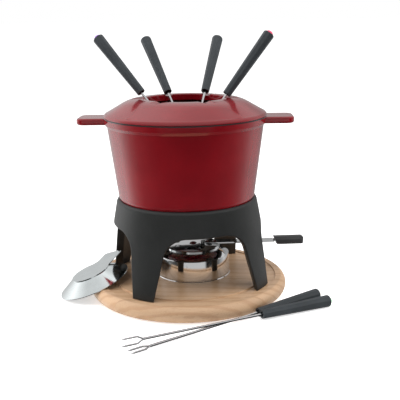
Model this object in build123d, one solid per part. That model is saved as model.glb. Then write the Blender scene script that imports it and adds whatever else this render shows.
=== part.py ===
"""Cast-iron fondue set: wooden board, stand, enamelled pot with fork guard, six forks, burner and snuffer.

Millimetres, +Z up. The origin is the middle of the board's underside, which rests on the table, and the
stand, pot and fork guard are centred on the Z axis. The two free forks and the snuffer's low rim lie on
the same table, at Z = 0.
"""

from build123d import *
from math import asin, cos, radians, sin, tan
import os

# ---- board: a round bullnose board with a shallow ring channel that the stand's feet stand in
BOARD_THICK = 18.5
BOARD_BASE_R = 105.0
BOARD_MAX_R = 115.0
BOARD_MAX_Z = 10.0
BOARD_DECK_R = 109.0
CHANNEL_IN_R = 87.3
CHANNEL_OUT_R = 103.0
CHANNEL_DEEP = 1.5
CHANNEL_SLOPE = 0.6
DECK = BOARD_THICK

# ---- stand: a cast ring on four legs, cut from one cone
STAND_BASE_R = 98.5
STAND_TAPER = 0.19
STAND_TOP = DECK + 95.0
STAND_WALL = 7.5
STAND_LIP_ROUND = 3.5
STAND_LIP_FLAT = 1.2
STAND_LIP_BULGE = (0.6, 1.0)
RING_MOUTH_R = 77.6
RING_BORE_R = 75.2
RING_BORE_TOP = DECK + 92.0
RING_BASE = DECK + 72.0
ARCH_TURN = 14.1
ARCH_TOP = DECK + 66.4
ARCH_HALF_BASE = 58.0
ARCH_LEAN = 0.26
ARCH_CORNER_R = 26.0
ARCH_EDGE_ROUND = 1.4
ARCH_SHORT_EDGE = 20.0
LUG_THICK = 8.0
LUG_TIP_SHARE = 0.6
LUG_ROOT = 2.0
LUG_WIDE = 22.0
LUG_IN_R = 48.0

# ---- pot: conical body whose narrow base nests in the stand's ring, with a rim band and two tabs
POT_TURN = -3.0
POT_BASE = DECK + 73.0
POT_WALL = 4.6
POT_RIM = DECK + 188.5
POT_BASE_R = 60.6
POT_BASE_ROUND = 12.0
POT_INNER_ROUND = 9.0
POT_NECK_R = 73.4
POT_NECK_TOP = DECK + 91.0
POT_SHOULDER_R = 78.7
POT_SHOULDER_TOP = DECK + 101.0
POT_SHOULDER_BULGE = (1.3, 5.6)
POT_BELLY_R = 88.6
POT_BELLY_TOP = DECK + 178.0
RIM_R = 92.0
RIM_BAND = 7.0
RIM_BAND_STEP = 0.6
RIM_ROUND = 0.9
POT_MOUTH_R = 84.6
TAB_REACH = 122.0
TAB_WIDE = 39.0
TAB_THICK = 7.5
TAB_CORNER_R = 9.0
TAB_ROUND = 2.4
TAB_TOP_DROP = 0.6
TAB_ROOT = 3.0

# ---- fork guard: a domed ring that closes the pot down to a round opening with six fork notches
GUARD_BASE = POT_RIM
GUARD_CONE_R = 88.5
GUARD_CONE_Z = POT_RIM + 4.7
GUARD_CREST_R = 51.4
GUARD_CREST_Z = DECK + 208.3
GUARD_CREST_ROUND = 41.0
GUARD_SLOPE = 30.0
GUARD_WALL = 3.2
OPENING_R = 45.0
OPENING_LIP = 7.0
OPENING_WALL = 4.0
SPIGOT_R = 83.8
SPIGOT_WALL = 3.0
SPIGOT_DEEP = 4.0
SPIGOT_CHAMFER = 0.8
GUARD_EDGE_BULGE = (1.1, 3.2)
OPENING_ROUND = 1.2
NOTCH_WIDE = 14.0
NOTCH_DEEP = 2.0
NOTCH_RUN = 24.0
NOTCH_FIRST = -4.0
NOTCH_COUNT = 6

# ---- forks: a faceted tapered handle, a steel shaft with two tines and a coloured end cap
HANDLE_LONG = 85.5
HANDLE_SMALL = 9.0
HANDLE_BIG = 12.4
HANDLE_SIDES = 8
HANDLE_EDGE_R = 1.0
HANDLE_END_R = 6.55
HANDLE_END_ROUND = 1.6
HANDLE_SOCKET_R = 2.9
HANDLE_SOCKET_DEEP = 3.0
CAP_R = 4.9
CAP_RISE = 3.0
CAP_STEM_R = 2.5
CAP_STEM_LONG = 6.0
SHAFT_R = 1.35
SHAFT_REACH = 158.0
SHAFT_IN_HANDLE = 34.0
TINE_R = 0.9
TINE_SPREAD = 3.7
TINE_LONG = 17.0
TINE_FLARE = 6.0
TINE_POINT = 4.0
TINE_POINT_R = 0.25
TINE_ROOT = 3.0
TINE_ROOT_SHARE = 0.9
TINE_BEND_R = 3.0
FORK_LONG = SHAFT_REACH + HANDLE_LONG + CAP_RISE
SHAFT_ABOVE_NOTCH = 2.4

# the forks in the pot: notch azimuth, direction azimuth, lean from upright, shaft showing above the lip
POT_FORKS = {
    "fork_1": (175.0, 146.0, 45.0, 7.5),
    "fork_2": (115.0, 116.5, 45.5, 2.8),
    "fork_3": (59.0, 73.0, 46.0, 3.4),
    "fork_4": (-3.0, 24.0, 40.0, 3.4),
}

# the forks on the table: cap end (x, y, z), heading towards the cap, height of the points, tine plane
TABLE_FORKS = {
    "fork_5": ((148.8, -45.2, 6.35), 32.5, 1.2, 0.0),
    "fork_6": ((157.9, -67.0, 6.40), 24.0, 6.1, 90.0),
}

# ---- burner: base pan, drum shell with a sloping shoulder, fuel cup, flame plate and a turning regulator
BURNER_X = 6.0
BURNER_Y = 4.0
SHEET = 0.8
PAN_FOOT_R = 43.6
PAN_FOOT = 1.6
PAN_R = 43.1
PAN_STEP = 0.6
PAN_SHOULDER = 3.2
PAN_NECK_R = 41.9
PAN_TOP = 8.0
SHELL_GAP = 0.3
SHELL_LOW_R = 43.1
SHELL_HIGH_R = 42.2
SHELL_WALL_TOP = 25.2
SHELL_CORNER = (0.5, 0.8)
SHOULDER_R = 33.2
SHOULDER_TOP = 31.0
SHOULDER_BULGE = 0.45
SHELL_TOP = 31.4
SHELL_LIP = 0.9
CUP_R = 27.6
CUP_CLEAR = 0.4
CUP_FLANGE_R = 30.2
SHELL_MOUTH_R = CUP_R + CUP_CLEAR
CUP_BASE = 2.0
WOOL_TOP = 24.0
GAUZE_THICK = 1.0
PLATE_R = 30.2
PLATE_THICK = 1.0
REGULATOR_R = 31.5
REGULATOR_BASE = 31.7
REGULATOR_EDGE = 35.0
REGULATOR_RISE = 1.2
REGULATOR_CORNER = 0.9
FLAME_HOLE_R = 3.5
FLAME_PITCH_R = 20.0
FLAME_HOLES = 8
PIVOT_R = 2.0
PIVOT_CLEAR = 0.05
PIVOT_HEAD_R = 4.5
PIVOT_HEAD_RISE = 1.8
PIVOT_HEAD_GAP = 0.12
ARM_TURN = 5.0
ARM_DROOP = 1.07
ARM_ROOT = 36.30
ARM_WIDE = 13.0
ARM_THICK = 1.5
ARM_ROOT_SHARE = 0.45
ARM_START = 9.0
ARM_END = 112.0
ARM_RIVETS = (17.0, 26.0)
ARM_RIVET_FEET = (-1.75, -2.05)
RIVET_R = 1.6
RIVET_HEAD_R = 2.8
RIVET_HEAD = 1.1
RIVET_TAIL = 0.4
GRIP_START = 97.0
GRIP_END = 133.5
GRIP_WIDE = 13.0
GRIP_THICK = 9.6
GRIP_SLANT = 4.0
GRIP_BEVEL = 3.0
GRIP_EDGE_R = 0.7
GRIP_END_SHARE = 0.46
GRIP_NOSE = 2.6
TONGUE_CUT = 2.0

# ---- snuffer: a cone closed by a flat plate that runs out into a wide tab, leaning on the board's edge
SNUFFER_X = -110.3
SNUFFER_Y = -12.4
SNUFFER_HEADING = 6.3
SNUFFER_TILT = 20.9
SNUFFER_LIFT = 0.25
SNUFFER_R = 42.0
SNUFFER_TOP_R = 23.0
SNUFFER_HIGH = 11.8
SNUFFER_SHEET = 0.9
SNUFFER_RIM = 0.7
SNUFFER_RIM_SHARE = 1.4
SNUFFER_TOP_EDGE = (0.6, 0.3)
TAB_TURN = 64.0
TAB_LONG = 48.0
TAB_INNER = 2.0
TAB_OUTER = 21.5
PLATE_SHEET = 1.2
TAB_NECK_R = 14.0
TAB_END_R = 3.0

FULL_TURN = 360.0
QUARTER_MID = 1 - cos(radians(45))


def turned(profile):
    """Revolves a closed (radius, height) outline about the Z axis."""
    return revolve(Plane.XZ * profile, Axis.Z)


def outline(*edges):
    """Makes a face from edges that join end to end."""
    return make_face(Curve() + list(edges))


def polygon(*points):
    """Makes a face from straight edges through the points."""
    return make_face(Polyline(*points, close=True))


def disc(radius, low, high):
    """Makes a plain round slab between two heights."""
    return Pos(0, 0, (low + high) / 2) * Cylinder(radius, high - low)


def dome(radius, rise):
    """Makes a shallow spherical cap that stands on Z = 0."""
    sphere_r = (radius * radius + rise * rise) / (2 * rise)
    half = asin(radius / sphere_r) / 2
    mid = (sphere_r * sin(half), rise - sphere_r * (1 - cos(half)))
    return turned(
        outline(
            Line((0, 0), (radius, 0)),
            ThreePointArc((radius, 0), mid, (0, rise)),
            Line((0, rise), (0, 0)),
        )
    )


def stand_outer_r(height):
    """Radius of the stand's outer cone at a height above the table."""
    return STAND_BASE_R - STAND_TAPER * (height - DECK)


def board():
    """Round board: quarter-round edges and a shallow ring channel in the deck."""
    low_r = BOARD_MAX_R - BOARD_BASE_R
    rise = BOARD_THICK - BOARD_MAX_Z
    step = BOARD_MAX_R - BOARD_DECK_R
    high_r = (step * step + rise * rise) / (2 * step)
    half = asin(rise / high_r) / 2
    floor = DECK - CHANNEL_DEEP
    return turned(
        outline(
            Line((0, 0), (BOARD_BASE_R, 0)),
            ThreePointArc(
                (BOARD_BASE_R, 0),
                (BOARD_BASE_R + low_r * sin(radians(45)), low_r * (1 - cos(radians(45)))),
                (BOARD_MAX_R, BOARD_MAX_Z),
            ),
            ThreePointArc(
                (BOARD_MAX_R, BOARD_MAX_Z),
                (BOARD_MAX_R - high_r * (1 - cos(half)), BOARD_MAX_Z + high_r * sin(half)),
                (BOARD_DECK_R, DECK),
            ),
            Line((BOARD_DECK_R, DECK), (CHANNEL_OUT_R, DECK)),
            Line((CHANNEL_OUT_R, DECK), (CHANNEL_OUT_R - CHANNEL_SLOPE, floor)),
            Line((CHANNEL_OUT_R - CHANNEL_SLOPE, floor), (CHANNEL_IN_R + CHANNEL_SLOPE, floor)),
            Line((CHANNEL_IN_R + CHANNEL_SLOPE, floor), (CHANNEL_IN_R, DECK)),
            Line((CHANNEL_IN_R, DECK), (0, DECK)),
            Line((0, DECK), (0, 0)),
        )
    )


def arch_cutter():
    """One arch: a leaning-sided opening with round upper corners, pushed out along +Y."""
    low = DECK - 2 * CHANNEL_DEEP
    half_low = ARCH_HALF_BASE + ARCH_LEAN * (DECK - low)
    half_top = ARCH_HALF_BASE - ARCH_LEAN * (ARCH_TOP - DECK)
    face = polygon((-half_low, low), (half_low, low), (half_top, ARCH_TOP), (-half_top, ARCH_TOP))
    top_corners = face.vertices().sort_by(Axis.Y)[-2:]
    face = fillet(top_corners, ARCH_CORNER_R)
    return extrude(Plane.XZ * face, -STAND_BASE_R - STAND_WALL)


def stand():
    """Cast stand: cone with a thick top ring, four arches and four lugs that carry the pot's base."""
    foot = DECK - CHANNEL_DEEP
    foot_r = stand_outer_r(foot)
    lip_low = STAND_TOP - STAND_LIP_ROUND
    lip_low_r = stand_outer_r(lip_low)
    lip_r = stand_outer_r(STAND_TOP)
    lip_in_r = lip_r - STAND_LIP_ROUND + STAND_LIP_FLAT
    lip_mid = (lip_r - STAND_LIP_BULGE[0], STAND_TOP - STAND_LIP_BULGE[1])
    cone = turned(
        outline(
            Line((foot_r - STAND_WALL, foot), (foot_r, foot)),
            Line((foot_r, foot), (lip_low_r, lip_low)),
            ThreePointArc((lip_low_r, lip_low), lip_mid, (lip_in_r, STAND_TOP)),
            Line((lip_in_r, STAND_TOP), (RING_MOUTH_R, STAND_TOP)),
            Line((RING_MOUTH_R, STAND_TOP), (RING_BORE_R, RING_BORE_TOP)),
            Line((RING_BORE_R, RING_BORE_TOP), (RING_BORE_R, RING_BASE)),
            Line((RING_BORE_R, RING_BASE), (foot_r - STAND_WALL, foot)),
        )
    )
    arch = arch_cutter()
    legs = cone
    for quarter in range(4):
        legs -= Rot(0, 0, ARCH_TURN + 90 * quarter - 90) * arch
    edges = [e for e in legs.edges() if e.center().Z < RING_BASE and e.length > ARCH_SHORT_EDGE]
    legs = fillet(edges, ARCH_EDGE_ROUND)
    reach = RING_BORE_R + LUG_ROOT
    lug_face = polygon(
        (LUG_IN_R, POT_BASE - LUG_THICK * LUG_TIP_SHARE),
        (reach, POT_BASE - 2 * LUG_THICK),
        (reach, POT_BASE),
        (LUG_IN_R, POT_BASE),
    )
    lug = extrude(Plane.XZ * lug_face, LUG_WIDE / 2, both=True)
    for quarter in range(4):
        legs += Rot(0, 0, ARCH_TURN + 45 + 90 * quarter) * lug
    return legs


def pot():
    """Pot: nested base, shoulder, conical wall, rim band and two flat tab handles."""
    shoulder_mid = (POT_SHOULDER_R - POT_SHOULDER_BULGE[0], POT_SHOULDER_TOP - POT_SHOULDER_BULGE[1])
    band_low = POT_RIM - RIM_BAND
    base_mid = POT_BASE_ROUND * sin(radians(45))
    side_r = POT_BASE_R + POT_BASE_ROUND
    inner_floor = POT_BASE + POT_WALL
    inner_side_r = side_r - POT_WALL
    inner_flat_r = inner_side_r - POT_INNER_ROUND
    inner_mid = POT_INNER_ROUND * sin(radians(45))
    shell = turned(
        outline(
            Line((0, POT_BASE), (POT_BASE_R, POT_BASE)),
            ThreePointArc(
                (POT_BASE_R, POT_BASE),
                (POT_BASE_R + base_mid, POT_BASE + POT_BASE_ROUND - base_mid),
                (side_r, POT_BASE + POT_BASE_ROUND),
            ),
            Line((side_r, POT_BASE + POT_BASE_ROUND), (POT_NECK_R, POT_NECK_TOP)),
            ThreePointArc((POT_NECK_R, POT_NECK_TOP), shoulder_mid, (POT_SHOULDER_R, POT_SHOULDER_TOP)),
            Line((POT_SHOULDER_R, POT_SHOULDER_TOP), (POT_BELLY_R, POT_BELLY_TOP)),
            Line((POT_BELLY_R, POT_BELLY_TOP), (RIM_R - RIM_BAND_STEP, band_low)),
            Line((RIM_R - RIM_BAND_STEP, band_low), (RIM_R, POT_RIM - RIM_ROUND)),
            ThreePointArc(
                (RIM_R, POT_RIM - RIM_ROUND),
                (RIM_R - QUARTER_MID * RIM_ROUND, POT_RIM - QUARTER_MID * RIM_ROUND),
                (RIM_R - RIM_ROUND, POT_RIM),
            ),
            Line((RIM_R - RIM_ROUND, POT_RIM), (POT_MOUTH_R + RIM_ROUND, POT_RIM)),
            Line((POT_MOUTH_R + RIM_ROUND, POT_RIM), (POT_MOUTH_R, POT_RIM - RIM_ROUND)),
            Line((POT_MOUTH_R, POT_RIM - RIM_ROUND), (POT_BELLY_R - POT_WALL, POT_BELLY_TOP)),
            Line((POT_BELLY_R - POT_WALL, POT_BELLY_TOP), (POT_SHOULDER_R - POT_WALL, POT_SHOULDER_TOP)),
            Line((POT_SHOULDER_R - POT_WALL, POT_SHOULDER_TOP), (POT_NECK_R - POT_WALL, POT_NECK_TOP)),
            Line((POT_NECK_R - POT_WALL, POT_NECK_TOP), (inner_side_r, inner_floor + POT_INNER_ROUND)),
            ThreePointArc(
                (inner_side_r, inner_floor + POT_INNER_ROUND),
                (inner_flat_r + inner_mid, inner_floor + POT_INNER_ROUND - inner_mid),
                (inner_flat_r, inner_floor),
            ),
            Line((inner_flat_r, inner_floor), (0, inner_floor)),
            Line((0, inner_floor), (0, POT_BASE)),
        )
    )
    tab_top = POT_RIM - TAB_TOP_DROP
    root_r = POT_MOUTH_R + TAB_ROOT
    plan = Pos((root_r + TAB_REACH) / 2, 0) * Rectangle(TAB_REACH - root_r, TAB_WIDE)
    outer_corners = plan.vertices().sort_by(Axis.X)[-2:]
    plan = fillet(outer_corners, TAB_CORNER_R)
    tab = Pos(0, 0, tab_top - TAB_THICK) * extrude(plan, TAB_THICK)
    long_edges = tab.edges().filter_by(Axis.Z, reverse=True).filter_by(lambda e: e.center().X > root_r + 1)
    tab = fillet(long_edges, TAB_ROUND)
    body = shell + tab + Rot(0, 0, 180) * tab
    return Rot(0, 0, POT_TURN) * body


def fork_guard():
    """Fork guard: domed ring, turned-down opening lip with notches, and a spigot inside the pot's mouth."""
    slope = radians(GUARD_SLOPE)
    crest_low_r = GUARD_CREST_R + GUARD_CREST_ROUND * sin(slope)
    crest_low_z = GUARD_CREST_Z - GUARD_CREST_ROUND * (1 - cos(slope))
    half = slope / 2
    crest_mid = (
        GUARD_CREST_R + GUARD_CREST_ROUND * sin(half),
        GUARD_CREST_Z - GUARD_CREST_ROUND * (1 - cos(half)),
    )
    inner_round = GUARD_CREST_ROUND - GUARD_WALL
    inner_low_r = GUARD_CREST_R + inner_round * sin(slope)
    inner_low_z = GUARD_CREST_Z - GUARD_WALL - inner_round * (1 - cos(slope))
    inner_mid = (
        GUARD_CREST_R + inner_round * sin(half),
        GUARD_CREST_Z - GUARD_WALL - inner_round * (1 - cos(half)),
    )
    spigot_in_r = SPIGOT_R - SPIGOT_WALL
    spigot_low = GUARD_BASE - SPIGOT_DEEP
    spigot_top = inner_low_z - (spigot_in_r - inner_low_r) * tan(slope)
    lip_r = OPENING_R + OPENING_WALL
    crest_under = GUARD_CREST_Z - GUARD_WALL
    lip_base = GUARD_CREST_Z - OPENING_LIP
    ring_body = turned(
        outline(
            Line((spigot_in_r, spigot_low), (SPIGOT_R - SPIGOT_CHAMFER, spigot_low)),
            Line((SPIGOT_R - SPIGOT_CHAMFER, spigot_low), (SPIGOT_R, spigot_low + SPIGOT_CHAMFER)),
            Line((SPIGOT_R, spigot_low + SPIGOT_CHAMFER), (SPIGOT_R, GUARD_BASE)),
            Line((SPIGOT_R, GUARD_BASE), (RIM_R - RIM_ROUND, GUARD_BASE)),
            ThreePointArc(
                (RIM_R - RIM_ROUND, GUARD_BASE),
                (RIM_R - QUARTER_MID * RIM_ROUND, GUARD_BASE + QUARTER_MID * RIM_ROUND),
                (RIM_R, GUARD_BASE + RIM_ROUND),
            ),
            ThreePointArc(
                (RIM_R, GUARD_BASE + RIM_ROUND),
                (RIM_R - GUARD_EDGE_BULGE[0], GUARD_BASE + GUARD_EDGE_BULGE[1]),
                (GUARD_CONE_R, GUARD_CONE_Z),
            ),
            Line((GUARD_CONE_R, GUARD_CONE_Z), (crest_low_r, crest_low_z)),
            ThreePointArc((crest_low_r, crest_low_z), crest_mid, (GUARD_CREST_R, GUARD_CREST_Z)),
            Line((GUARD_CREST_R, GUARD_CREST_Z), (OPENING_R + OPENING_ROUND, GUARD_CREST_Z)),
            ThreePointArc(
                (OPENING_R + OPENING_ROUND, GUARD_CREST_Z),
                (OPENING_R + QUARTER_MID * OPENING_ROUND, GUARD_CREST_Z - QUARTER_MID * OPENING_ROUND),
                (OPENING_R, GUARD_CREST_Z - OPENING_ROUND),
            ),
            Line((OPENING_R, GUARD_CREST_Z - OPENING_ROUND), (OPENING_R, lip_base)),
            Line((OPENING_R, lip_base), (lip_r, lip_base)),
            Line((lip_r, lip_base), (lip_r, crest_under)),
            Line((lip_r, crest_under), (GUARD_CREST_R, crest_under)),
            ThreePointArc((GUARD_CREST_R, crest_under), inner_mid, (inner_low_r, inner_low_z)),
            Line((inner_low_r, inner_low_z), (spigot_in_r, spigot_top)),
            Line((spigot_in_r, spigot_top), (spigot_in_r, spigot_low)),
        )
    )
    scoop_r = (NOTCH_WIDE * NOTCH_WIDE / 4 + NOTCH_DEEP * NOTCH_DEEP) / (2 * NOTCH_DEEP)
    scoop_z = GUARD_CREST_Z - NOTCH_DEEP + scoop_r
    scoop_mid = (OPENING_R + GUARD_CREST_R) / 2
    scoop = Pos(scoop_mid, 0, scoop_z) * Rot(0, 90, 0) * Cylinder(scoop_r, NOTCH_RUN)
    for index in range(NOTCH_COUNT):
        ring_body -= Rot(0, 0, NOTCH_FIRST + index * FULL_TURN / NOTCH_COUNT) * scoop
    return ring_body


def octagon(across, edge_r):
    """Eight-sided outline given its width across flats, with softened corners."""
    corner_r = across / 2 / cos(radians(180 / HANDLE_SIDES))
    face = RegularPolygon(corner_r, HANDLE_SIDES, rotation=180 / HANDLE_SIDES)
    return fillet(face.vertices(), edge_r)


def fork_handle():
    """Tapered faceted handle from Z = 0, with an open socket at the shaft end and a cap bore."""
    end_mid = QUARTER_MID * HANDLE_END_ROUND
    small = octagon(HANDLE_SMALL, HANDLE_EDGE_R)
    big = octagon(HANDLE_BIG, HANDLE_EDGE_R)
    cone = loft([small, Pos(0, 0, HANDLE_LONG) * big])
    cone &= turned(
        outline(
            Line((0, 0), (HANDLE_BIG, 0)),
            Line((HANDLE_BIG, 0), (HANDLE_BIG, HANDLE_LONG / 2)),
            Line((HANDLE_BIG, HANDLE_LONG / 2), (HANDLE_END_R, HANDLE_LONG - HANDLE_END_ROUND)),
            ThreePointArc(
                (HANDLE_END_R, HANDLE_LONG - HANDLE_END_ROUND),
                (HANDLE_END_R - end_mid, HANDLE_LONG - end_mid),
                (HANDLE_END_R - HANDLE_END_ROUND, HANDLE_LONG),
            ),
            Line((HANDLE_END_R - HANDLE_END_ROUND, HANDLE_LONG), (0, HANDLE_LONG)),
            Line((0, HANDLE_LONG), (0, 0)),
        )
    )
    cone -= disc(HANDLE_SOCKET_R, 0, HANDLE_SOCKET_DEEP)
    cone -= disc(SHAFT_R, 0, SHAFT_IN_HANDLE)
    cone -= disc(CAP_STEM_R, HANDLE_LONG - CAP_STEM_LONG, HANDLE_LONG)
    return cone


def fork_cap():
    """Coloured domed cap with a stem in the handle's bore."""
    stem = disc(CAP_STEM_R, HANDLE_LONG - CAP_STEM_LONG, HANDLE_LONG)
    return stem + Pos(0, 0, HANDLE_LONG) * dome(CAP_R, CAP_RISE)


def fork_shaft():
    """Round steel shaft that splits into two pointed tines below the handle, along -Z."""
    split = -(SHAFT_REACH - TINE_LONG - TINE_FLARE)
    rod = disc(SHAFT_R, split, SHAFT_IN_HANDLE)
    tip = -SHAFT_REACH
    root = (SHAFT_R - TINE_R) * TINE_ROOT_SHARE
    for side in (-1, 1):
        low = (side * TINE_SPREAD, 0, split - TINE_FLARE)
        path = FilletPolyline(
            (side * root, 0, split + TINE_ROOT),
            (side * root, 0, split),
            low,
            (side * TINE_SPREAD, 0, tip + TINE_POINT),
            radius=TINE_BEND_R,
        )
        start = Plane(path.position_at(0), z_dir=path.tangent_at(0))
        rod += sweep(start * Circle(TINE_R), path)
        rod += Pos(side * TINE_SPREAD, 0, tip + TINE_POINT / 2) * Cone(TINE_POINT_R, TINE_R, TINE_POINT)
    return rod


def pot_fork_place(notch, heading, lean, above):
    """Frame of a fork that leans over the opening's lip: origin at the handle's shaft end, +Z to the cap."""
    heading_rad = radians(heading)
    lean_rad = radians(lean)
    along = Vector(sin(lean_rad) * cos(heading_rad), sin(lean_rad) * sin(heading_rad), cos(lean_rad))
    notch_rad = radians(notch)
    lip_z = GUARD_CREST_Z - NOTCH_DEEP + SHAFT_ABOVE_NOTCH
    lip = Vector(OPENING_R * cos(notch_rad), OPENING_R * sin(notch_rad), lip_z)
    across = Vector(-sin(heading_rad), cos(heading_rad), 0)
    return Plane(lip + along * above, x_dir=across, z_dir=along)


def table_fork_place(end, heading, point_z, roll):
    """Frame of a fork that lies on the table: origin at the handle's shaft end, +Z to the cap."""
    heading_rad = radians(heading)
    pitch = asin((end[2] - point_z) / FORK_LONG)
    along = Vector(cos(pitch) * cos(heading_rad), cos(pitch) * sin(heading_rad), sin(pitch))
    level = Vector(-sin(heading_rad), cos(heading_rad), 0)
    across = level if roll == 0.0 else level.cross(along)
    origin = Vector(*end) - along * (HANDLE_LONG + CAP_RISE)
    return Plane(origin, x_dir=across, z_dir=along)


def burner_pan():
    """Shallow base pan of the burner, with a rolled foot and a neck inside the drum shell."""
    return turned(
        polygon(
            (0, 0),
            (PAN_FOOT_R, 0),
            (PAN_FOOT_R, PAN_FOOT),
            (PAN_R, PAN_FOOT + PAN_STEP),
            (PAN_R, PAN_SHOULDER),
            (PAN_NECK_R, PAN_SHOULDER),
            (PAN_NECK_R, PAN_TOP),
            (PAN_NECK_R - SHEET, PAN_TOP),
            (PAN_NECK_R - SHEET, SHEET),
            (0, SHEET),
        )
    )


def burner_shell():
    """Drum shell: slightly drafted wall, a sloping convex shoulder and a flat lip round the mouth."""
    low = PAN_SHOULDER + SHELL_GAP
    corner_r = SHELL_HIGH_R - SHELL_CORNER[0]
    corner_z = SHELL_WALL_TOP + SHELL_CORNER[1]
    middle = ((corner_r + SHOULDER_R) / 2 + SHOULDER_BULGE, (corner_z + SHOULDER_TOP) / 2 + SHOULDER_BULGE)
    under = SHELL_TOP - SHEET
    return turned(
        outline(
            Line((SHELL_LOW_R - SHEET, low), (SHELL_LOW_R, low)),
            Line((SHELL_LOW_R, low), (SHELL_HIGH_R, SHELL_WALL_TOP)),
            Line((SHELL_HIGH_R, SHELL_WALL_TOP), (corner_r, corner_z)),
            ThreePointArc((corner_r, corner_z), middle, (SHOULDER_R, SHOULDER_TOP)),
            Line((SHOULDER_R, SHOULDER_TOP), (SHOULDER_R - SHELL_LIP, SHELL_TOP)),
            Line((SHOULDER_R - SHELL_LIP, SHELL_TOP), (SHELL_MOUTH_R, SHELL_TOP)),
            Line((SHELL_MOUTH_R, SHELL_TOP), (SHELL_MOUTH_R, under)),
            Line((SHELL_MOUTH_R, under), (SHOULDER_R - SHELL_LIP, under)),
            Line((SHOULDER_R - SHELL_LIP, under), (SHELL_HIGH_R - SHEET, SHELL_WALL_TOP)),
            Line((SHELL_HIGH_R - SHEET, SHELL_WALL_TOP), (SHELL_LOW_R - SHEET, low)),
        )
    )


def fuel_cup():
    """Fuel cup that hangs by its flange from the upper shell's mouth."""
    return turned(
        polygon(
            (0, CUP_BASE),
            (CUP_R, CUP_BASE),
            (CUP_R, SHELL_TOP),
            (CUP_FLANGE_R, SHELL_TOP),
            (CUP_FLANGE_R, SHELL_TOP + SHEET),
            (CUP_R - SHEET, SHELL_TOP + SHEET),
            (CUP_R - SHEET, CUP_BASE + SHEET),
            (0, CUP_BASE + SHEET),
        )
    )


def fuel_wadding():
    """Absorbent wadding that fills the fuel cup."""
    return disc(CUP_R - SHEET, CUP_BASE + SHEET, WOOL_TOP)


def wire_gauze():
    """Gauze disc that holds the wadding down."""
    return disc(CUP_R - SHEET, WOOL_TOP, WOOL_TOP + GAUZE_THICK)


def flame_holes(low, high):
    """Ring of flame holes, as cutters between two heights."""
    holes = []
    for index in range(FLAME_HOLES):
        angle = radians((index + 0.5) * FULL_TURN / FLAME_HOLES)
        place = Pos(FLAME_PITCH_R * cos(angle), FLAME_PITCH_R * sin(angle), 0)
        holes.append(place * disc(FLAME_HOLE_R, low, high))
    return holes


def flame_plate():
    """Fixed plate with flame holes, on the fuel cup's flange."""
    low = SHELL_TOP + SHEET
    high = low + PLATE_THICK
    plate = disc(PLATE_R, low, high) - disc(PIVOT_R, low, high)
    for hole in flame_holes(low, high):
        plate -= hole
    return plate


def regulator_height(radius):
    """Height of the regulator's slightly domed top at a radius."""
    share = radius / REGULATOR_R
    return REGULATOR_EDGE + REGULATOR_RISE * (1 - share * share)


def pivot_pin():
    """Pin fixed in the flame plate, with a domed head over the regulator."""
    low = SHELL_TOP + SHEET
    head = regulator_height(0) + PIVOT_HEAD_GAP
    return disc(PIVOT_R, low, head) + Pos(0, 0, head) * dome(PIVOT_HEAD_R, PIVOT_HEAD_RISE)


def arm_place():
    """Frame of the strip's underside: it droops a little towards the grip."""
    return Pos(0, 0, ARM_ROOT) * Rot(0, ARM_DROOP, 0)


def rivet_holes():
    """Cutters for the two rivets, through the strip and the regulator's top."""
    holes = []
    for reach in ARM_RIVETS:
        holes.append(arm_place() * Pos(reach, 0, 0) * disc(RIVET_R, -PIVOT_HEAD_R, ARM_THICK))
    return holes


def regulator_cap():
    """Turning cap: a domed top with flame holes and a short straight skirt."""
    bore = PIVOT_R + PIVOT_CLEAR
    edge_r = REGULATOR_R - REGULATOR_CORNER
    middle = (edge_r + bore) / 2
    cap = turned(
        outline(
            Line((REGULATOR_R - SHEET, REGULATOR_BASE), (REGULATOR_R, REGULATOR_BASE)),
            Line((REGULATOR_R, REGULATOR_BASE), (REGULATOR_R, REGULATOR_EDGE - REGULATOR_CORNER)),
            Line((REGULATOR_R, REGULATOR_EDGE - REGULATOR_CORNER), (edge_r, regulator_height(edge_r))),
            ThreePointArc(
                (edge_r, regulator_height(edge_r)),
                (middle, regulator_height(middle)),
                (bore, regulator_height(bore)),
            ),
            Line((bore, regulator_height(bore)), (bore, regulator_height(bore) - SHEET)),
            ThreePointArc(
                (bore, regulator_height(bore) - SHEET),
                (middle, regulator_height(middle) - SHEET),
                (edge_r, regulator_height(edge_r) - SHEET),
            ),
            Line(
                (edge_r, regulator_height(edge_r) - SHEET),
                (REGULATOR_R - SHEET, REGULATOR_EDGE - REGULATOR_CORNER - SHEET / 2),
            ),
            Line(
                (REGULATOR_R - SHEET, REGULATOR_EDGE - REGULATOR_CORNER - SHEET / 2),
                (REGULATOR_R - SHEET, REGULATOR_BASE),
            ),
        )
    )
    for cutter in flame_holes(REGULATOR_BASE, ARM_ROOT + ARM_THICK) + rivet_holes():
        cap -= cutter
    return cap


def regulator_arm():
    """Flat steel strip from the regulator's top out into the grip, narrower inside the grip."""
    face = Pos((ARM_START + ARM_END) / 2, 0) * Rectangle(ARM_END - ARM_START, ARM_WIDE)
    root_corners = face.vertices().sort_by(Axis.X)[:2]
    face = fillet(root_corners, ARM_WIDE * ARM_ROOT_SHARE)
    strip = extrude(face, ARM_THICK)
    length = ARM_END - GRIP_START + GRIP_SLANT
    for side in (-1, 1):
        cheek = Box(length, 2 * TONGUE_CUT, 4 * ARM_THICK)
        strip -= Pos(GRIP_START + length / 2, side * ARM_WIDE / 2, 0) * cheek
    strip = arm_place() * strip
    for cutter in rivet_holes():
        strip -= cutter
    return strip


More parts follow.
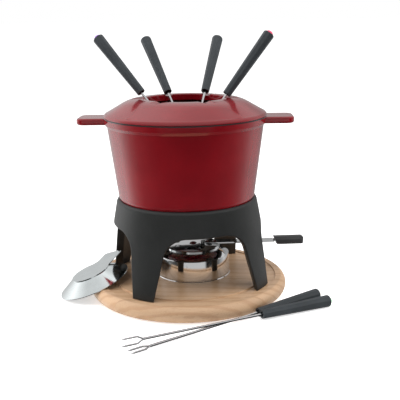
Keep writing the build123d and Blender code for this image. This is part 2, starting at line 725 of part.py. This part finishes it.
def arm_rivets():
    """Two rivets that hold the strip to the regulator."""
    rivets = []
    for reach, foot in zip(ARM_RIVETS, ARM_RIVET_FEET):
        shank = disc(RIVET_R, foot, ARM_THICK)
        tail = disc(RIVET_HEAD_R, foot - RIVET_TAIL, foot)
        head = Pos(0, 0, ARM_THICK) * dome(RIVET_HEAD_R, RIVET_HEAD)
        rivets.append(arm_place() * Pos(reach, 0, 0) * (shank + tail + head))
    return Compound(children=rivets)


def regulator_grip():
    """Faceted plastic grip with a slanted front, a rounded end and a slot for the strip."""
    middle = ARM_THICK / 2
    half_w = GRIP_WIDE / 2
    half_t = GRIP_THICK / 2
    section = polygon(
        (-half_w + GRIP_BEVEL, -half_t),
        (half_w - GRIP_BEVEL, -half_t),
        (half_w, -half_t + GRIP_BEVEL),
        (half_w, half_t - GRIP_BEVEL),
        (half_w - GRIP_BEVEL, half_t),
        (-half_w + GRIP_BEVEL, half_t),
        (-half_w, half_t - GRIP_BEVEL),
        (-half_w, -half_t + GRIP_BEVEL),
    )
    section = fillet(section.vertices(), GRIP_EDGE_R)
    start = Plane((GRIP_START, 0, middle), x_dir=(0, 1, 0), z_dir=(1, 0, 0))
    bar = extrude(start * section, GRIP_END - GRIP_START)
    nose = (GRIP_END, middle + GRIP_NOSE)
    side = polygon(
        (GRIP_START, middle + half_t),
        (GRIP_START + GRIP_SLANT, middle - half_t),
        (GRIP_END - GRIP_NOSE, middle - half_t),
        (GRIP_END, middle - GRIP_NOSE),
        nose,
        (GRIP_END - GRIP_NOSE, middle + half_t),
    )
    bar &= extrude(Plane.XZ * side, GRIP_WIDE, both=True)
    plan = Pos((GRIP_START + GRIP_END) / 2, 0) * Rectangle(GRIP_END - GRIP_START, GRIP_WIDE)
    plan = fillet(plan.vertices().sort_by(Axis.X)[-2:], GRIP_WIDE * GRIP_END_SHARE)
    bar &= Pos(0, 0, middle - GRIP_THICK) * extrude(plan, 2 * GRIP_THICK)
    slot_long = ARM_END - GRIP_START
    bar -= Pos(GRIP_START + slot_long / 2, 0, middle) * Box(slot_long, ARM_WIDE - 2 * TONGUE_CUT, ARM_THICK)
    return arm_place() * bar


def snuffer_cap():
    """Thin truncated cone with a flat top, rim at Z = 0 in its own frame."""
    lean = SNUFFER_SHEET * SNUFFER_RIM_SHARE
    return turned(
        polygon(
            (SNUFFER_R - lean, 0),
            (SNUFFER_R, 0),
            (SNUFFER_R, SNUFFER_RIM),
            (SNUFFER_TOP_R + SNUFFER_TOP_EDGE[0], SNUFFER_HIGH - SNUFFER_TOP_EDGE[1]),
            (SNUFFER_TOP_R, SNUFFER_HIGH),
            (0, SNUFFER_HIGH),
            (0, SNUFFER_HIGH - SNUFFER_SHEET),
            (SNUFFER_TOP_R - SNUFFER_TOP_EDGE[0], SNUFFER_HIGH - SNUFFER_SHEET),
        )
    )


def snuffer_plate():
    """Flat plate on the cone: a round head that runs out into the wide tab it is held by."""
    wide = TAB_INNER + TAB_OUTER
    tab = Pos(TAB_LONG / 2, (TAB_INNER - TAB_OUTER) / 2) * Rectangle(TAB_LONG, wide)
    face = Circle(SNUFFER_TOP_R) + tab
    end_corners = face.vertices().sort_by(Axis.X)[-2:]
    face = fillet(end_corners, TAB_END_R)
    neck = face.vertices().filter_by(lambda v: abs(v.Y - TAB_INNER) < 0.1 and v.X < SNUFFER_TOP_R)
    face = fillet(neck, TAB_NECK_R)
    return Pos(0, 0, SNUFFER_HIGH) * Rot(0, 0, TAB_TURN) * extrude(face, PLATE_SHEET)


def snuffer_place():
    """Frame of the leaning snuffer: low rim just above the table, uphill towards the board."""
    tilt = radians(SNUFFER_TILT)
    heading = radians(SNUFFER_HEADING)
    rim_z = SNUFFER_R * sin(tilt) + SNUFFER_LIFT
    uphill = (cos(tilt) * cos(heading), cos(tilt) * sin(heading), sin(tilt))
    normal = (-sin(tilt) * cos(heading), -sin(tilt) * sin(heading), cos(tilt))
    return Plane((SNUFFER_X, SNUFFER_Y, rim_z), x_dir=uphill, z_dir=normal)


def build_nodes():
    """Builds every piece in the shared frame, keyed by its node name."""
    nodes = {
        "board": board(),
        "stand": stand(),
        "pot": pot(),
        "fork_guard": fork_guard(),
    }

    fork_places = {}
    for name, pose in POT_FORKS.items():
        fork_places[name] = pot_fork_place(*pose)
    for name, pose in TABLE_FORKS.items():
        fork_places[name] = table_fork_place(*pose)
    fork_pieces = {"handle": fork_handle(), "shaft": fork_shaft(), "cap": fork_cap()}
    for name, place in fork_places.items():
        for piece, shape in fork_pieces.items():
            nodes[f"{name}_{piece}"] = place * shape

    still = Pos(BURNER_X, BURNER_Y, DECK)
    turned_arm = still * Rot(0, 0, ARM_TURN)
    nodes["burner_pan"] = still * burner_pan()
    nodes["burner_shell"] = still * burner_shell()
    nodes["fuel_cup"] = still * fuel_cup()
    nodes["fuel_wadding"] = still * fuel_wadding()
    nodes["wire_gauze"] = still * wire_gauze()
    nodes["flame_plate"] = turned_arm * flame_plate()
    nodes["pivot_pin"] = still * pivot_pin()
    nodes["regulator_cap"] = turned_arm * regulator_cap()
    nodes["regulator_arm"] = turned_arm * regulator_arm()
    nodes["regulator_rivets"] = turned_arm * arm_rivets()
    nodes["regulator_grip"] = turned_arm * regulator_grip()

    leaning = snuffer_place()
    nodes["snuffer_cap"] = leaning * snuffer_cap()
    nodes["snuffer_handle"] = leaning * snuffer_plate()
    return nodes


def main():
    """Writes one STEP file per node."""
    os.makedirs("parts", exist_ok=True)
    for name, shape in build_nodes().items():
        export_step(shape, f"parts/{name}.step")


main()
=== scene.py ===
"""Fondue set: looks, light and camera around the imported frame. Metres, +Z up."""

import math

import bpy
from mathutils import Matrix, Vector


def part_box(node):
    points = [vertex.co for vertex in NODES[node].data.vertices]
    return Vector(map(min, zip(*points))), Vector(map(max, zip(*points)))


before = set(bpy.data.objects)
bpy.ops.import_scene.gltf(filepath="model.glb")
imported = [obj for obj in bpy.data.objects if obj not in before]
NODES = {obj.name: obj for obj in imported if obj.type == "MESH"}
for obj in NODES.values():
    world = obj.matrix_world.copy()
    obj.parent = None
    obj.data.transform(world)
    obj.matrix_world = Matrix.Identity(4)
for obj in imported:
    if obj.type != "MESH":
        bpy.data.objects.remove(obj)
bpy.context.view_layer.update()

LEFT_GLOW = 1.25
RIGHT_GLOW = 0.60
TOP_GLOW = 0.68
STRIP_GLOW = 0.55
RIM_DARK = 0.0012
FLOOR_FAR = 60.0
FLOOR_FRONT = -0.30
SOFTBOX_SIZE = (0.9, 1.4)
SET_MIDDLE = (0, 0, 0.15)
STEEL_BUMP = 0.03
STRIP_WIDE = 0.033
STRIP_SHIFT = 0.511
CAMERA_AT = (0.0, -0.8419, 0.3142)
CAMERA_LENS = 67.0
SENSOR_WIDE = 36.0
FORKS = [f"fork_{i}" for i in range(1, 7)]


# ---------------------------------------------------------------- node helpers


class Graph:
    """Short calls for the nodes used in the materials and the world."""

    def __init__(self, tree):
        self.nodes = tree.nodes
        self.links = tree.links

    def link(self, source, target):
        self.links.new(source, target)
        return source

    def ramp(self, fac, stops):
        node = self.nodes.new("ShaderNodeValToRGB")
        ramp = node.color_ramp
        while len(ramp.elements) < len(stops):
            ramp.elements.new(0.5)
        for element, (at, value) in zip(ramp.elements, stops):
            element.position = at
            grey = isinstance(value, (int, float))
            element.color = (value, value, value, 1) if grey else (*value, 1)
        self.link(fac, node.inputs["Fac"])
        return node.outputs["Color"]

    def math(self, kind, a, b=0.0, c=None):
        node = self.nodes.new("ShaderNodeMath")
        node.operation = kind
        for index, value in enumerate((a, b, c)):
            if value is None:
                continue
            if isinstance(value, (int, float)):
                node.inputs[index].default_value = value
            else:
                self.link(value, node.inputs[index])
        return node.outputs[0]

    def spread(self, value, start, end, low, high):
        node = self.nodes.new("ShaderNodeMapRange")
        node.interpolation_type = "SMOOTHSTEP"
        for name, number in (
            ("From Min", start), ("From Max", end), ("To Min", low), ("To Max", high)
        ):
            node.inputs[name].default_value = number
        self.link(value, node.inputs["Value"])
        return node.outputs["Result"]


class Tree(Graph):
    """A material's node tree around its Principled shader."""

    def __init__(self, name):
        self.mat = bpy.data.materials.new(name)
        self.mat.use_nodes = True
        super().__init__(self.mat.node_tree)
        self.shader = self.nodes["Principled BSDF"]

    def put(self, **values):
        for key, value in values.items():
            self.shader.inputs[key.replace("_", " ")].default_value = value

    def coords(self, turn=(0, 0, 0)):
        where = self.nodes.new("ShaderNodeTexCoord")
        mapping = self.nodes.new("ShaderNodeMapping")
        mapping.inputs["Rotation"].default_value = turn
        self.link(where.outputs["Object"], mapping.inputs["Vector"])
        return mapping.outputs["Vector"]

    def place(self):
        """Distance from the set's upright axis, and height."""
        where = self.nodes.new("ShaderNodeTexCoord")
        split = self.nodes.new("ShaderNodeSeparateXYZ")
        self.link(where.outputs["Object"], split.inputs[0])
        x, y, z = split.outputs
        square = self.math("MULTIPLY_ADD", x, x, self.math("MULTIPLY", y, y))
        return self.math("SQRT", square), z

    def noise(self, scale, detail=3.0, rough=0.5, vector=None):
        node = self.nodes.new("ShaderNodeTexNoise")
        node.inputs["Scale"].default_value = scale
        node.inputs["Detail"].default_value = detail
        node.inputs["Roughness"].default_value = rough
        self.link(vector or self.coords(), node.inputs["Vector"])
        return node.outputs["Fac"]

    def mix(self, fac, a, b, blend="MIX"):
        node = self.nodes.new("ShaderNodeMix")
        node.data_type = "RGBA"
        node.blend_type = blend
        for socket, value in zip((node.inputs[0], node.inputs[6], node.inputs[7]), (fac, a, b)):
            if isinstance(value, (int, float)):
                socket.default_value = value
            elif isinstance(value, tuple):
                socket.default_value = (*value, 1)
            else:
                self.link(value, socket)
        return node.outputs[2]

    def bump(self, height, strength, distance, before=None):
        node = self.nodes.new("ShaderNodeBump")
        node.inputs["Strength"].default_value = strength
        node.inputs["Distance"].default_value = distance
        self.link(height, node.inputs["Height"])
        if before is not None:
            self.link(before, node.inputs["Normal"])
        return node.outputs["Normal"]

    def base(self, source):
        self.link(source, self.shader.inputs["Base Color"])

    def roughness(self, source):
        self.link(source, self.shader.inputs["Roughness"])

    def normal(self, source, coat=True):
        self.link(source, self.shader.inputs["Normal"])
        if coat:
            self.link(source, self.shader.inputs["Coat Normal"])


# ---------------------------------------------------------------- materials


def enamel():
    """Glossy red; the ground top rim is dark, and painted shade darkens the pot towards and
    below the stand's top ring.
    """
    t = Tree("red_enamel")
    t.put(Coat_Weight=0.7, Coat_Roughness=0.06, Specular_IOR_Level=0.5)
    broad = t.noise(26.0, 3.0)
    fine = t.noise(420.0, 2.0)
    colour = t.ramp(broad, [(0.25, (0.175, 0.002, 0.006)), (0.75, (0.235, 0.004, 0.009))])
    colour = t.mix(t.ramp(fine, [(0.35, 0.0), (0.8, 0.25)]), colour, (0.155, 0.0015, 0.005))
    radius, height = t.place()
    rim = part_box("pot")[1][2]
    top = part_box("stand")[1][2]
    edge = t.math("GREATER_THAN", height, rim - RIM_DARK)
    edge = t.math("MULTIPLY", edge, t.math("LESS_THAN", height, rim + RIM_DARK / 5))
    edge = t.math("MULTIPLY", edge, t.math("LESS_THAN", radius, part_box("fork_guard")[1][1]))
    # painted shade: the red fades to near black from just above the stand's top ring downwards,
    # where the ring shades the pot
    painted_ring_shade = t.spread(height, top - 0.012, top + 0.001, 1.0, 0.0)
    colour = t.mix(painted_ring_shade, colour, (0.035, 0.002, 0.004))
    t.base(t.mix(edge, colour, (0.006, 0.006, 0.008)))
    t.roughness(t.ramp(fine, [(0.3, 0.17), (0.8, 0.24)]))
    peel = t.bump(t.noise(150.0, 2.0), 0.10, 0.0004)
    t.normal(t.bump(t.noise(30.0, 1.0), 0.10, 0.0012, peel))
    return t.mat


def cast_iron():
    t = Tree("cast_black")
    t.put(Specular_IOR_Level=0.65)
    cloud = t.noise(22.0, 4.0, 0.6)
    grit = t.noise(1500.0, 3.0, 0.65)
    colour = t.ramp(cloud, [(0.3, (0.010, 0.011, 0.0105)), (0.75, (0.016, 0.017, 0.0165))])
    t.base(t.mix(t.ramp(grit, [(0.5, 0.0), (0.75, 0.5)]), colour, (0.035, 0.036, 0.037)))
    t.roughness(t.ramp(grit, [(0.3, 0.38), (0.75, 0.50)]))
    rough = t.bump(grit, 0.35, 0.0003)
    t.normal(t.bump(t.noise(240.0, 3.0), 0.2, 0.0005, rough))
    return t.mat


def steel(name, colour, rough, smear=0.04, scale=60.0):
    t = Tree(name)
    t.put(Metallic=1.0)
    cloud = t.noise(scale, 4.0, 0.6)
    dark = tuple(c * 0.93 for c in colour)
    t.base(t.ramp(cloud, [(0.3, dark), (0.7, colour)]))
    t.roughness(t.ramp(cloud, [(0.3, rough), (0.75, rough + smear)]))
    t.normal(t.bump(t.noise(scale * 0.5, 2.0), STEEL_BUMP, 0.0004), coat=False)
    return t.mat


def plastic(name, colour, rough, grain=900.0, strength=0.12, light=1.35):
    t = Tree(name)
    t.put(Specular_IOR_Level=0.35)
    fine = t.noise(grain, 3.0, 0.6)
    cloud = t.noise(35.0, 2.0)
    bright = tuple(min(1.0, c * light) for c in colour)
    t.base(t.ramp(cloud, [(0.3, colour), (0.75, bright)]))
    t.roughness(t.ramp(fine, [(0.3, rough), (0.7, rough + 0.10)]))
    t.normal(t.bump(fine, strength, 0.0002), coat=False)
    return t.mat


def wood():
    """Rubberwood glued up from strips along X; each strip has its own tone and its own rings."""
    t = Tree("beech")
    where = t.nodes.new("ShaderNodeTexCoord")
    split = t.nodes.new("ShaderNodeSeparateXYZ")
    t.link(where.outputs["Object"], split.inputs[0])
    x, y, z = split.outputs
    index = t.math("FLOOR", t.math("DIVIDE", t.math("ADD", y, STRIP_SHIFT), STRIP_WIDE))
    tone = t.nodes.new("ShaderNodeTexWhiteNoise")
    tone.noise_dimensions = "1D"
    t.link(index, tone.inputs["W"])
    shift = t.math("MULTIPLY", tone.outputs["Value"], 3.0)
    place = t.nodes.new("ShaderNodeCombineXYZ")
    t.link(t.math("ADD", x, shift), place.inputs[0])
    t.link(t.math("ADD", y, t.math("MULTIPLY", shift, 0.37)), place.inputs[1])
    t.link(t.math("ADD", z, shift), place.inputs[2])
    stretch = t.nodes.new("ShaderNodeMapping")
    stretch.inputs["Scale"].default_value = (0.12, 1.0, 1.0)
    t.link(place.outputs[0], stretch.inputs["Vector"])
    grain = stretch.outputs["Vector"]
    rings = t.nodes.new("ShaderNodeTexWave")
    rings.wave_type = "BANDS"
    rings.bands_direction = "DIAGONAL"
    rings.inputs["Scale"].default_value = 42.0
    rings.inputs["Distortion"].default_value = 9.0
    rings.inputs["Detail"].default_value = 3.0
    rings.inputs["Detail Scale"].default_value = 0.6
    t.link(grain, rings.inputs["Vector"])
    ring = rings.outputs["Fac"]
    pores = t.noise(1500.0, 3.0, 0.6, vector=grain)
    fleck = t.noise(260.0, 2.0, 0.5, vector=grain)
    light = (0.56, 0.365, 0.220)
    mid = (0.49, 0.297, 0.168)
    deep = (0.38, 0.215, 0.112)
    colour = t.ramp(ring, [(0.0, light), (0.6, light), (0.9, mid), (1.0, mid)])
    colour = t.mix(t.ramp(pores, [(0.52, 0.0), (0.72, 0.55)]), colour, deep)
    colour = t.mix(t.ramp(fleck, [(0.45, 0.0), (0.8, 0.35)]), colour, light)
    shade = t.ramp(tone.outputs["Value"], [(0.0, 0.90), (1.0, 1.06)])
    colour = t.mix(1.0, colour, shade, "MULTIPLY")
    across = t.math("FRACT", t.math("DIVIDE", t.math("ADD", y, STRIP_SHIFT), STRIP_WIDE))
    seam = t.math("LESS_THAN", t.math("ABSOLUTE", t.math("SUBTRACT", across, 0.5)), 0.494)
    colour = t.mix(t.math("MULTIPLY", t.math("SUBTRACT", 1.0, seam), 0.45), colour, deep)
    t.base(colour)
    t.put(Coat_Weight=0.25, Coat_Roughness=0.25, Specular_IOR_Level=0.45)
    t.roughness(t.ramp(pores, [(0.3, 0.36), (0.75, 0.52)]))
    t.normal(t.bump(pores, 0.10, 0.0002), coat=False)
    return t.mat


def wadding():
    t = Tree("wadding")
    fibres = t.noise(900.0, 6.0, 0.75)
    t.base(t.ramp(fibres, [(0.25, (0.70, 0.68, 0.62)), (0.75, (0.93, 0.92, 0.89))]))
    t.put(Roughness=0.95, Sheen_Weight=0.3)
    t.normal(t.bump(fibres, 0.8, 0.001), coat=False)
    return t.mat


def gauze():
    """Woven wire: two crossed waves raise the wires; the gaps between them get painted shade as
    a near-black base colour.
    """
    t = Tree("gauze")
    t.put(Metallic=1.0)
    heights = []
    for turn in (0.0, math.pi / 2):
        wave = t.nodes.new("ShaderNodeTexWave")
        wave.inputs["Scale"].default_value = 140.0
        t.link(t.coords(turn=(0, 0, turn)), wave.inputs["Vector"])
        heights.append(wave.outputs["Fac"])
    weave = t.math("MAXIMUM", *heights)
    # painted shade: the low parts of the weave, the gaps between wires, are near black
    t.base(t.ramp(weave, [(0.45, (0.04, 0.04, 0.04)), (0.75, (0.62, 0.62, 0.63))]))
    t.roughness(t.ramp(weave, [(0.4, 0.7), (0.8, 0.3)]))
    t.normal(t.bump(weave, 0.8, 0.0006), coat=False)
    return t.mat


def floor_paint():
    t = Tree("floor_white")
    t.base(t.ramp(t.noise(3.0, 2.0), [(0.3, 0.90), (0.7, 0.915)]))
    t.put(Roughness=0.7, Specular_IOR_Level=0.15)
    t.put(Emission_Color=(1, 1, 1, 1), Emission_Strength=0.55)
    return t.mat


ENAMEL = enamel()
IRON = cast_iron()
WOOD = wood()
CHROME = steel("bright_steel", (0.88, 0.885, 0.89), 0.05)
SHAFT = steel("fork_steel", (0.82, 0.82, 0.83), 0.16, 0.06, 200.0)
HANDLE = plastic("handle_black", (0.030, 0.035, 0.039), 0.40)
GRIP = plastic("grip_black", (0.030, 0.030, 0.031), 0.34)
CAPS = {
    "fork_1": (0.34, 0.15, 0.55),
    "fork_2": (0.04, 0.32, 0.70),
    "fork_3": (0.80, 0.66, 0.72),
    "fork_4": (0.85, 0.08, 0.18),
    "fork_5": (0.80, 0.55, 0.04),
    "fork_6": (0.06, 0.60, 0.22),
}


def paint(node, material):
    mesh = NODES[node].data
    mesh.materials.clear()
    mesh.materials.append(material)


paint("board", WOOD)
paint("stand", IRON)
paint("pot", ENAMEL)
paint("fork_guard", ENAMEL)
for fork in FORKS:
    paint(f"{fork}_handle", HANDLE)
    paint(f"{fork}_shaft", SHAFT)
    paint(f"{fork}_cap", plastic(f"cap_{fork}", CAPS[fork], 0.22, 500.0, 0.05, 1.15))
for node in (
    "burner_pan",
    "burner_shell",
    "fuel_cup",
    "flame_plate",
    "pivot_pin",
    "regulator_cap",
    "regulator_arm",
    "regulator_rivets",
):
    paint(node, CHROME)
SHINE = steel("snuffer_steel", (0.85, 0.90, 0.905), 0.07)
for node in ("snuffer_cap", "snuffer_handle"):
    paint(node, SHINE)
paint("regulator_grip", GRIP)
paint("fuel_wadding", wadding())
paint("wire_gauze", gauze())


# ---------------------------------------------------------------- floor, light, camera


def stage_floor():
    mesh = bpy.data.meshes.new("floor")
    mesh.from_pydata(
        [
            (-FLOOR_FAR, FLOOR_FRONT, 0),
            (FLOOR_FAR, FLOOR_FRONT, 0),
            (FLOOR_FAR, FLOOR_FAR, 0),
            (-FLOOR_FAR, FLOOR_FAR, 0),
        ],
        [],
        [(0, 1, 2, 3)],
    )
    floor = bpy.data.objects.new("floor", mesh)
    mesh.materials.append(floor_paint())
    floor.visible_glossy = False
    bpy.context.scene.collection.objects.link(floor)


def softbox(name, at, look, power, size=SOFTBOX_SIZE):
    lamp = bpy.data.lights.new(name, "AREA")
    lamp.shape = "RECTANGLE"
    lamp.size, lamp.size_y = size
    lamp.energy = power
    holder = bpy.data.objects.new(name, lamp)
    way = Vector(look) - Vector(at)
    holder.location = at
    holder.visible_glossy = False
    holder.rotation_euler = way.to_track_quat("-Z", "Y").to_euler()
    bpy.context.scene.collection.objects.link(holder)


def world_light():
    """Bright above and at both sides, dark low in front; the camera itself sees plain white."""
    world = bpy.data.worlds.new("surround")
    world.use_nodes = True
    g = Graph(world.node_tree)
    where = g.nodes.new("ShaderNodeTexCoord")
    split = g.nodes.new("ShaderNodeSeparateXYZ")
    g.link(where.outputs["Generated"], split.inputs[0])
    x, y, z = split.outputs
    around = [(0.15, 0.01), (0.27, 0.05), (0.40, 0.11), (0.53, 0.38), (0.71, 1.0), (0.93, 0.5)]
    low = g.ramp(g.math("MULTIPLY_ADD", y, 0.5, 0.5), around)
    low = g.math("MULTIPLY", low, g.spread(x, -0.5, 0.5, LEFT_GLOW, RIGHT_GLOW))
    low = g.math("MULTIPLY", low, g.spread(z, -0.85, -0.50, 0.15, 1.0))
    over = g.spread(z, 0.0, 0.60, 0.0, TOP_GLOW)
    lower, upper = g.spread(z, -0.34, -0.27, 0.0, 1.0), g.spread(z, -0.12, -0.05, 1.0, 0.0)
    strip = g.math("MULTIPLY", lower, upper)
    strip = g.math("MULTIPLY", strip, g.spread(y, -0.8, -0.7, STRIP_GLOW, 0.0))
    glow = g.math("MAXIMUM", g.math("MAXIMUM", low, over), strip)
    path = g.nodes.new("ShaderNodeLightPath")
    seen = path.outputs["Is Camera Ray"]
    strength = g.math("MAXIMUM", glow, seen)
    g.link(strength, g.nodes["Background"].inputs["Strength"])
    g.nodes["Background"].inputs["Color"].default_value = (1, 1, 1, 1)
    bpy.context.scene.world = world


def camera():
    """The photograph's viewpoint: a little to the left of the axis and about 14 degrees down."""
    yaw = math.radians(1.03)
    pitch = math.radians(13.78)
    roll = math.radians(-0.91)
    forward = Vector(
        (math.sin(yaw) * math.cos(pitch), math.cos(yaw) * math.cos(pitch), -math.sin(pitch))
    )
    right = Vector((math.cos(yaw), -math.sin(yaw), 0))
    up = right.cross(forward)
    right_rolled = math.cos(roll) * right + math.sin(roll) * up
    up_rolled = math.cos(roll) * up - math.sin(roll) * right
    lens = bpy.data.cameras.new("photo_view")
    lens.lens = CAMERA_LENS
    lens.sensor_width = SENSOR_WIDE
    lens.clip_start = 0.01
    holder = bpy.data.objects.new("photo_view", lens)
    turn = Matrix((right_rolled, up_rolled, -forward)).transposed().to_4x4()
    holder.matrix_world = Matrix.Translation(CAMERA_AT) @ turn
    bpy.context.scene.collection.objects.link(holder)
    bpy.context.scene.camera = holder


stage_floor()
world_light()
softbox("left_box", (-1.4, -0.05, 0.70), SET_MIDDLE, 17.0)
softbox("right_box", (1.4, -0.02, 0.70), SET_MIDDLE, 13.0)
softbox("top_box", (0.0, -0.3, 1.5), (0, 0, 0.1), 11.0, size=(1.4, 1.2))
camera()
bpy.context.scene.view_settings.view_transform = "Standard"
